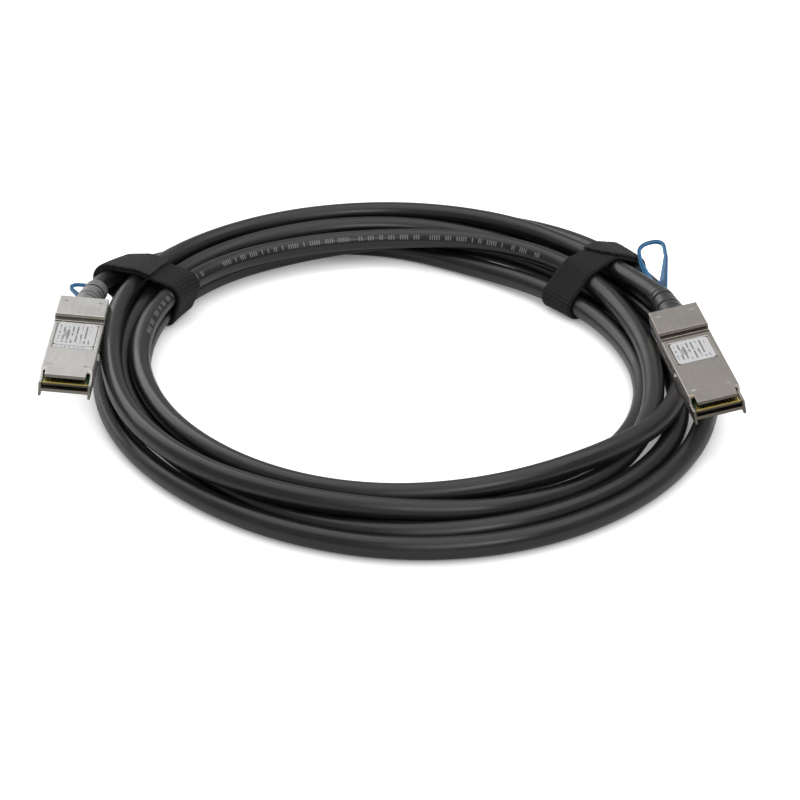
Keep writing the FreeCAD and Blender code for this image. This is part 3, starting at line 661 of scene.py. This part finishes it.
def makeBoard(plug):
    # Thin lines along the card, cut by noise.
    look = boardLook
    material, tree, shader = newMaterial("cardGreen" + plug.upper(), look["mask"], 0.30)
    place = objectPlace(tree, plug)
    across, back, up = axes(tree, place)
    step = look["step"]
    track = times(tree, rampNode(tree, stripes(tree, across, look["tracks"]), 0.1, 0.4),
                  rampNode(tree, noiseNode(tree, place, 260.0, 2.0), 0.45, 0.55))
    colour = mixColour(tree, track, look["mask"], look["track"])
    # The card's front face: its bare core, darkened into painted shade.
    front = rampNode(tree, back, look["faceEnd"], look["faceEnd"] + step, 1.0, 0.0)
    colour = mixColour(tree, front, colour, look["core"])
    plated = times(tree, rampNode(tree, back, look["platedEnd"], look["platedEnd"] + step, 1.0, 0.0),
                   rampNode(tree, up, look["topLevel"] - step, look["topLevel"]))
    putAll(tree, shader, Base_Color=mixColour(tree, plated, colour, look["plated"]),
           Normal=bumpNode(tree, track, 0.3, 0.00003))
    return material


# The lighter tone on the raised loops is a painted sheen; the lint specks are real.
strapLook = dict(colour=(0.0055, 0.0055, 0.006), gap=(0.017, 0.017, 0.018), lint=(0.09, 0.09, 0.09),
                 threads=2.6)


def makeStrapFabric(name, strong, brighter):
    look = strapLook
    material, tree, shader = newMaterial(name, look["colour"], 0.85, Sheen_Weight=0.06, Sheen_Roughness=0.4,
                                         Specular_IOR_Level=0.2)
    weave = useGroup(tree, weaveGroup, Map=addNode(tree, "TexCoord").outputs["UV"], Threads=look["threads"])
    speck = useGroup(tree, handlingGroup, Vector=objectPlace(tree), Scale=110.0)["Speck"]
    # The raised loops get a lighter tone, a painted sheen, made stronger on the loop side by brighter.
    gap = tuple(value * brighter for value in look["gap"])
    colour = mixColour(tree, weave["PaintedSheen"], look["colour"], gap)
    putAll(tree, shader, Base_Color=mixColour(tree, speck, colour, look["lint"], 0.2),
           Normal=bumpNode(tree, weave["Height"], strong, 0.00025))
    return material


metals = dict(
    rivet=makeMetal("rivetSteel", (0.50, 0.48, 0.45), (0.10, 0.09, 0.08), 0.36),
    latch=makeMetal("latchSteel", (0.60, 0.59, 0.57), (0.42, 0.41, 0.39), 0.26, 1800.0, (1.0, 0.15, 1.0)),
    spring=makeMetal("springSteel", (0.50, 0.49, 0.48), (0.30, 0.29, 0.28), 0.3),
    gold=makeMetal("contactGold", (0.90, 0.62, 0.20), (0.70, 0.46, 0.14), 0.27),
    foil=makeMetal("pairFoil", (0.70, 0.70, 0.71), (0.5, 0.5, 0.5), 0.35),
    brass=makeMetal("crimpBrass", (0.66, 0.50, 0.22), (0.45, 0.33, 0.15), 0.33),
)
chipEpoxy = makeMoulded("chipEpoxy", (0.02, 0.02, 0.02), (0.06, 0.06, 0.06), 0.5, 2500.0, 0.00003)
hotMelt = makeMoulded("hotMelt", (0.55, 0.50, 0.38), (0.65, 0.60, 0.48), 0.35, 600.0, 0.0001)
# Both boots are the same black rubber; boot A's grey tones are a painted reflection.
bootRubber = {
    "a": makeMoulded("bootRubberPaintedReflectionA", (0.155, 0.155, 0.162), (0.20, 0.20, 0.205), 0.34, 1400.0, 0.00003, 0.1),
    "b": makeMoulded("bootRubberB", (0.011, 0.011, 0.012), (0.028, 0.028, 0.029), 0.30, 1400.0, 0.00003, 0.1),
}
tabPlastic = makeMoulded("tabBlue", (0.005, 0.125, 0.305), (0.02, 0.18, 0.38), 0.36, 900.0, 0.00003, 0.1,
                         90.0)
# Painted shade for the bottoms of the boots' cuts.
groovePaintedShade = newMaterial("groovePaintedShade", (0.004, 0.004, 0.004), 0.6)[0]
strapFabric = makeStrapFabric("strapFabric", 0.9, 1.0)
strapLoopSide = makeStrapFabric("strapLoopSide", 1.0, 2.2)


def dressPlug(plug):
    shell = makeShell(plug)
    paper = makeLabel(plug)
    worn = dict(
        top_shell=shell, bottom_shell=shell, rivets=metals["rivet"], paddle_card=makeBoard(plug),
        contacts=metals["gold"], memory_chip=chipEpoxy, wire_pairs=metals["foil"], inner_mould=hotMelt,
        crimp_ring=metals["brass"], latch_slide=metals["latch"], latch_springs=metals["spring"],
        label=paper, strip_label=paper,
    )
    for piece, material in worn.items():
        if piece + "_" + plug in nodes:  # only plug A has a strip label
            slots = nodes[piece + "_" + plug].data.materials
            slots.clear()
            slots.append(material)


for plug in plugs:
    dressPlug(plug)
print("materials made")


# Boots: rings about the cord's line, with grooves all round and slots part of the way, in degrees.
bootSpec = dict(
    length=22.0, frontRadius=5.15, rearRadius=4.5, rings=(8.0, 15.6), ringWidth=1.15, ringDepth=1.0,
    slots=((4.3, 60.0), (4.3, 250.0), (12.0, 20.0), (12.0, 200.0), (19.0, 110.0), (19.0, 290.0)),
    slotWidth=0.7, slotHalfAngle=38.0, rear=0.45, rows=150, columns=72,
)


def makeBoot(plug):
    # Outside: middle + ring direction by radius, a taper less its cuts; then back along the bore.
    spec = bootSpec
    local = toPlug(cordLine, plug)
    behind = local[:, 1] - (plugSize["length"] - 0.6)
    near = np.argmin(np.abs(behind) + 5 * np.abs(local[:, 0]))
    direction = 1.0 if plug == "a" else -1.0
    along = np.linspace(0, spec["length"], spec["rows"])
    middle, tangent = lineAt(cordRun[near] + direction * along)
    tangent = tangent * direction
    side = unit(np.cross(tangent, plugs[plug]["turn"][:, 2]))
    over = np.cross(side, tangent)
    columns = spec["columns"]
    angle = np.radians(np.arange(columns) * 360 / columns)
    taper = spec["frontRadius"] + (spec["rearRadius"] - spec["frontRadius"]) * along / spec["length"]
    radius = taper - spec["rear"] * smoothStep(along, spec["length"] - 0.8, spec["length"])
    radius = np.repeat(radius[:, None], columns, 1)
    for place in spec["rings"]:
        off = smoothStep(np.abs(along - place), spec["ringWidth"] * 0.3, spec["ringWidth"] * 0.62)
        radius -= (spec["ringDepth"] * (1 - off))[:, None]
    for place, turn in spec["slots"]:
        off = 1 - smoothStep(np.abs(along - place), spec["slotWidth"] * 0.3, spec["slotWidth"] * 0.6)
        swing = np.abs((np.degrees(angle) - turn + 180) % 360 - 180)
        reach = 1 - smoothStep(swing, spec["slotHalfAngle"] - 5, spec["slotHalfAngle"])
        radius -= spec["ringDepth"] * 0.85 * off[:, None] * reach[None, :]
    ring = side[:, None] * np.cos(angle)[:, None] + over[:, None] * np.sin(angle)[:, None]
    outer = middle[:, None] + ring * radius[..., None]
    inner = middle[::-1][:, None] + ring[::-1] * (cordRadius - 0.15)
    grid = np.concatenate([outer, inner], 0)
    faces = gridFaces(len(grid), columns, True, True)
    boot = meshObject("boot" + plug.upper(), grid, faces, bootRubber[plug], mainBody)
    # Faces at the bottom of a cut get painted shade.
    deep = (taper[:, None] - radius > spec["ringDepth"] * 0.5) & (along < spec["length"] - 1)[:, None]
    cut = np.concatenate([deep, np.zeros(radius.shape, bool)]).ravel()
    boot.data.materials.append(groovePaintedShade)
    boot.data.polygons.foreach_set("material_index", (cut[faces].sum(1) >= 2).astype(np.int32))
    return boot


for plug in plugs:
    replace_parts(makeBoot(plug), "boot_" + plug)
print("boots made")


# Straps: the taut outline round the turns that pass, thickened into a band with round edges.
strapBand = dict(width=16.0, thickness=1.5, gap=0.12, points=220, across=17, edge=0.35, rough=0.03,
                 lapRows=90, lapThickness=0.8)


def strapAxes(spec):
    # The strap's middle on the oval, then outwards and along the cord.
    origin, outside = ovalPoint(np.full(2, spec["angle"]), [0.0, 1.0])
    outward = outside - origin
    return origin, outward, np.array([-outward[1], outward[0], 0.0])


def tautLoop(place, offset):
    # The cord's crossings of a plane at offset, then the support line of the circles round them.
    origin, outward, ahead = place
    flat = cordLine - origin
    run = flat @ ahead - offset
    change = np.nonzero((run[:-1] * run[1:] <= 0) & (np.abs(flat @ outward)[:-1] < 48))[0]
    share = run[change] / (run[change] - run[change + 1])
    met = cordLine[change] + (cordLine[change + 1] - cordLine[change]) * share[:, None]
    middles = np.stack([(met - origin) @ outward, met[:, 2]], -1)
    theta = np.radians(np.linspace(-90, 270, 1441)[:-1])
    direction = np.stack([np.cos(theta), np.sin(theta)], -1)
    best = np.argmax(middles @ direction.T, axis=0)
    return evenly(middles[best] + direction * (cordRadius + strapBand["gap"]), strapBand["points"])


def strapSheet(spec):
    # Loops at each place across the band, smoothed so that it lies even over the turns.
    place = strapAxes(spec)
    offsets = strapBand["width"] * np.linspace(-0.5, 0.5, strapBand["across"])
    found = [tautLoop(place, offset) for offset in offsets]
    loops = np.stack([item[0] for item in found], 1)
    for _ in range(14):
        loops[:, 1:-1] = (loops[:, :-2] + 2 * loops[:, 1:-1] + loops[:, 2:]) / 4
    for _ in range(4):
        loops = (np.roll(loops, 1, 0) + 2 * loops + np.roll(loops, -1, 0)) / 4
    return loops, offsets, place, float(np.mean([item[1] for item in found]))


def bandSection(count, thickness, edge):
    # Once round the band's own section: place across from 0 to 1 and height through it.
    across = np.linspace(0, 1, count)
    near = np.clip(1 - np.minimum(across, 1 - across) / 0.03, 0, 1)
    rounding = edge * (1 - np.sqrt(np.clip(1 - near ** 2, 0, 1)))
    upper = np.stack([across, thickness - rounding], -1)
    return np.vstack([upper, np.stack([across, rounding], -1)[::-1]])


def stripGrid(sheet, rowIndex, lift, thickness, slant=0.0):
    # Rows of the sheet at fractional places along it, raised along its normal.
    loops, offsets, (origin, outward, ahead), length = sheet
    steps = unit(np.roll(loops, -2, 0) - np.roll(loops, 2, 0))
    normals = np.stack([steps[..., 1], -steps[..., 0]], -1)
    count = len(loops)
    section = bandSection(len(offsets) * 2 - 1, thickness, strapBand["edge"])
    place = rowIndex[:, None] + slant * (section[:, 0] - 0.5)[None, :] * count
    whole = np.floor(place).astype(int)
    part = (place - whole)[..., None]
    lane = section[:, 0] * (len(offsets) - 1)
    left = np.clip(np.floor(lane).astype(int), 0, len(offsets) - 2)
    share = (lane - left)[None, :, None]

    def sample(table):
        lanes = table[:, left] * (1 - share) + table[:, left + 1] * share
        first, second = (lanes[row % count, np.arange(len(lane))] for row in (whole, whole + 1))
        return first * (1 - part) + second * part

    height = lift[:, None] + section[None, :, 1]
    flat = sample(loops) + unit(sample(normals)) * height[..., None]
    along = offsets[0] + section[:, 0] * (offsets[-1] - offsets[0])
    points = origin + outward * flat[..., :1] + ahead * along[:, None]
    points[..., 2] = np.maximum(flat[..., 1], 0.02)
    across = np.broadcast_to(section[:, 0] * strapBand["width"], place.shape)
    return points, np.stack([place / count * length, across], -1)


def makeStrap(plug):
    # The band goes once round; its free end is a second, thinner strip over part of it.
    spec = strapSpec[plug]
    name = "strap" + plug.upper()
    band = strapBand
    sheet = strapSheet(spec)
    count = band["points"]
    seed = np.random.default_rng(spec["seed"])
    points, uv = stripGrid(sheet, np.arange(count, dtype=float), np.zeros(count), band["thickness"])
    points += seed.normal(0, band["rough"], points.shape)
    faces = gridFaces(*points.shape[:2], True, True)
    strap = meshObject(name, points, faces, strapFabric, mainBody, uv)
    lapRows = np.linspace(spec["lapStart"] * count, spec["lapEnd"] * count, band["lapRows"])
    share = (lapRows - lapRows[0]) / (lapRows[-1] - lapRows[0])
    lift = band["thickness"] + band["gap"] + spec["lift"] * (1 - smoothStep(share, 0.0, 0.18)) * 0.6
    thickness = band["thickness"] * band["lapThickness"]
    points, uv = stripGrid(sheet, lapRows, lift, thickness, spec["slant"])
    points += seed.normal(0, band["rough"], points.shape)
    rows, columns = points.shape[:2]
    faces = gridFaces(rows, columns, False, True).tolist()
    faces += [list(range(columns)), list(range((rows - 1) * columns, rows * columns))]
    meshObject(name + "Lap", points, faces, strapLoopSide, mainBody, uv)
    return strap


for plug in strapSpec:
    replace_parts(makeStrap(plug), "strap_" + plug)
print("straps made")


# Pull tabs: a flat outline with round corners and a finger hole, bent up behind the plug.
tabShape = dict(start=71.9, wideAt=0.62, rim=1.5, level=-0.75, thick=1.3)
tabSpec = {
    "a": dict(run=23.0, bendFrom=14.0, loop=15.0, webWidth=2.8, loopWidth=6.6, web=2.5, skew=8.0, rise=3.5,
              corner=4.0, fork=1.2),
    "b": dict(run=32.0, bendFrom=22.0, loop=31.5, webWidth=3.2, loopWidth=5.8, web=6.5, skew=-8.0, rise=14.0,
              corner=5.0, fork=0.9),
}


def roundedOutline(corners, radii, steps=9):
    # Straight sides joined by arcs: each corner is cut back by radius over tan of half its angle.
    points = []
    corners = np.array(corners, float)
    for corner, before, after, radius in zip(corners, np.roll(corners, 1, 0), np.roll(corners, -1, 0), radii):
        before = unit(before - corner)
        after = unit(after - corner)
        half = math.acos(np.clip(before @ after, -1, 1)) / 2
        cut = radius / math.tan(half)
        centre = corner + unit(before + after) * radius / math.sin(half)
        first = corner + before * cut - centre
        last = corner + after * cut - centre
        sweep = math.atan2(first[0] * last[1] - first[1] * last[0], first @ last)
        angle = math.atan2(first[1], first[0]) + sweep * np.linspace(0, 1, steps)
        points.append(centre + radius * np.stack([np.cos(angle), np.sin(angle)], -1))
    return np.vstack(points)


def flatShape(name, outlines, thick, edge):
    # A flat curve of closed outlines, filled, given thickness and a round edge, then made a mesh.
    curve = bpy.data.curves.new(name, "CURVE")
    curve.dimensions = "2D"
    curve.fill_mode = "BOTH"
    curve.extrude = thick / 2 - edge
    curve.bevel_depth = edge
    curve.bevel_resolution = 3
    curve.offset = -edge
    for outline in outlines:
        addSpline(curve, "POLY", np.pad(outline, ((0, 0), (0, 1)))).use_cyclic_u = True
    piece = linked(name, curve)
    shape = shapedPoints(piece)
    bpy.data.objects.remove(piece)
    return shape


def makeTab(plug):
    spec = {**tabShape, **tabSpec[plug]}
    name = "pullTab" + plug.upper()
    run, loop, wide, rim, corner = (spec[label] for label in ("run", "loop", "loopWidth", "rim", "corner"))
    webWidth, fork = spec["webWidth"], spec["fork"]
    end = run + loop
    wideAt = run + loop * spec["wideAt"]
    holeWideAt = run + loop * (spec["wideAt"] + 0.04)
    outer = roundedOutline([(-webWidth, 0), (webWidth, 0), (webWidth, run), (wide, wideAt), (wide, end),
                            (-wide, end), (-wide, wideAt), (-webWidth, run)],
                           [0.6, 0.6, 6.0, 5.0, corner, corner, 5.0, 6.0])
    hole = roundedOutline([(-fork, run + spec["web"]), (fork, run + spec["web"]), (wide - rim, holeWideAt),
                           (wide - rim, end - rim), (-wide + rim, end - rim), (-wide + rim, holeWideAt)],
                          [0.8, 0.8, 4.0, corner - rim, corner - rim, 4.0])
    points, faces = flatShape(name, [evenly(outer, 260)[0], evenly(hole, 160)[0]], spec["thick"],
                              spec["thick"] * 0.38)
    # Past bendFrom the tab turns sideways by its skew and up by its rise, over a short bend.
    past = np.maximum(points[:, 1] - spec["bendFrom"], 0)
    bent = past ** 2 / (past + 6)
    across = points[:, 0] - math.tan(math.radians(spec["skew"])) * bent
    back = points[:, 1] + spec["start"] - 0.02 * past
    height = points[:, 2] + spec["level"] + math.tan(math.radians(spec["rise"])) * bent
    placed = toFrame(np.stack([across, back, height], -1), plug)
    tab = meshObject(name, placed, faces, tabPlastic, "latch_" + plug)
    weld = tab.modifiers.new("weld", "WELD")
    weld.merge_threshold = 0.00001
    return tab


for plug in plugs:
    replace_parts(makeTab(plug), "pull_tab_" + plug)
print("tabs made")


# Staked fixing marks on the rivets: a shallow cup with a nib on each side, each with its size, the height
# of its middle and a profile of (share of the size, height).
stakeSpec = dict(
    across=6.4, places=((9.4, "lowHeight"), (66.1, "tailHeight")), above=0.06, spread=1.05, columns=24,
    cup=(0.62, -0.13, ((0.3, -0.12), (0.5, -0.03), (0.68, 0.06), (0.86, 0.055), (1.04, 0.0), (1.15, -0.06))),
    nib=(0.24, 0.10, ((0.5, 0.085), (1.0, -0.02))),
)


def domeGrid(size, middle, profile):
    # A profile turned about the upright axis, from a point in the middle.
    angle = np.linspace(0, 2 * math.pi, stakeSpec["columns"] + 1)[:-1]
    points = [(0.001, middle)] + [(share * size, level) for share, level in profile]
    radius, height = np.array(points).T[..., None]
    return np.stack([radius * np.cos(angle), radius * np.sin(angle), height + 0 * angle], -1)


def makeStakes(plug):
    spec = stakeSpec
    cup = domeGrid(*spec["cup"])
    nib = domeGrid(*spec["nib"])
    points, faces, start = [], [], 0
    for back, level in spec["places"]:
        top = plugSize[level] + spec["above"]
        for side in (-1, 1):
            for shape, shift in ((cup, 0.0), (nib, -spec["spread"]), (nib, spec["spread"])):
                moved = shape + np.array([side * spec["across"] + shift, back, top])
                points.append(moved.reshape(-1, 3))
                faces.append(gridFaces(*shape.shape[:2], False, True) + start)
                start += moved.size // 3
    meshObject("stakedMarks" + plug.upper(), toFrame(np.vstack(points), plug), np.vstack(faces),
               metals["rivet"], mainBody)


for plug in plugs:
    makeStakes(plug)
print("fixing marks made")


# A white floor that glows for the camera, with a painted contact shadow in its glow, and keeps the lamps'
# shadow; soft lamps and the view, in metres.
floorLook = dict(half=6.0, drop=0.00005, colour=(0.66, 0.66, 0.66), glow=0.74, mirrored=0.22, contact=0.008,
                 darkest=0.15)
worldLook = dict(strength=0.36, mirrored=0.44)
lamps = {  # place, size and power
    "softTop": ((0.05, 0.15, 0.95), (1.6, 1.2), 7.0),
    "softBackLeft": ((-0.7, 0.75, 0.55), (1.0, 0.8), 4.0),
    "softFront": ((0.3, -0.9, 0.8), (0.8, 0.5), 4.0),
}
viewSpec = dict(target=(0.00394, -0.04367, 0.008), elevation=28.0, distance=0.94, lens=117.0)


def makeFloor():
    look = floorLook
    half = look["half"]
    mesh = bpy.data.meshes.new("studioFloor")
    corners = [(-half, -half, 0), (half, -half, 0), (half, half, 0), (-half, half, 0)]
    mesh.from_pydata(corners, [], [(0, 1, 2, 3)])
    floor = linked("studioFloor", mesh)
    floor.location.z = -look["drop"]
    material = bpy.data.materials.new("studioFloor")
    material.use_nodes = True
    tree = material.node_tree
    tree.nodes.clear()
    rays = addNode(tree, "LightPath").outputs
    seen = larger(tree, *(rays["Is " + kind + " Ray"] for kind in ("Camera", "Glossy", "Transmission")))
    level = rampNode(tree, rays["Is Glossy Ray"], 0.0, 1.0, look["glow"], look["mirrored"])
    # The glow is dimmed by ambient occlusion: a painted contact shadow.
    shade = addNode(tree, "AmbientOcclusion", {"Distance": look["contact"]}, samples=8).outputs["AO"]
    shade = rampNode(tree, shade, 0.0, 1.0, look["darkest"], 1.0, smooth=False)
    diffuse = addNode(tree, "BsdfDiffuse", {"Color": look["colour"]}).outputs[0]
    glow = addNode(tree, "Emission", {"Strength": times(tree, seen, level, shade)}).outputs[0]
    both = addNode(tree, "AddShader", {0: diffuse, 1: glow}).outputs[0]
    addNode(tree, "OutputMaterial", {"Surface": both})
    mesh.materials.append(material)


def makeWorld():
    world = bpy.data.worlds.new("studioWorld")
    bpy.context.scene.world = world
    world.use_nodes = True
    tree = world.node_tree
    background = next(node for node in tree.nodes if node.type == "BACKGROUND").inputs
    rays = addNode(tree, "LightPath").outputs
    level = rampNode(tree, rays["Is Glossy Ray"], 0.0, 1.0, worldLook["strength"], worldLook["mirrored"])
    seen = larger(tree, rays["Is Camera Ray"], rays["Is Transmission Ray"])
    put(tree, background["Color"], (1.0, 1.0, 1.0))
    put(tree, background["Strength"], larger(tree, seen, level))


def makeLamp(name, place, size, power):
    lamp = bpy.data.lights.new(name, "AREA")
    lamp.shape = "RECTANGLE"
    lamp.size, lamp.size_y = size
    lamp.energy = power
    piece = linked(name, lamp)
    piece.location = place
    piece.rotation_euler = (-Vector(place)).to_track_quat("-Z", "Y").to_euler()


def makeCamera():
    lift = math.radians(viewSpec["elevation"])
    lens = bpy.data.cameras.new("viewCamera")
    lens.lens = viewSpec["lens"]
    lens.clip_start = 0.01
    lens.clip_end = 50.0
    camera = linked("viewCamera", lens)
    away = Vector((0, -math.cos(lift), math.sin(lift))) * viewSpec["distance"]
    camera.location = Vector(viewSpec["target"]) + away
    camera.rotation_euler.x = math.pi / 2 - lift
    bpy.context.scene.camera = camera


makeFloor()
makeWorld()
for name, lamp in lamps.items():
    makeLamp(name, *lamp)
makeCamera()
bpy.context.scene.view_settings.view_transform = "Standard"
print("stage and camera made")
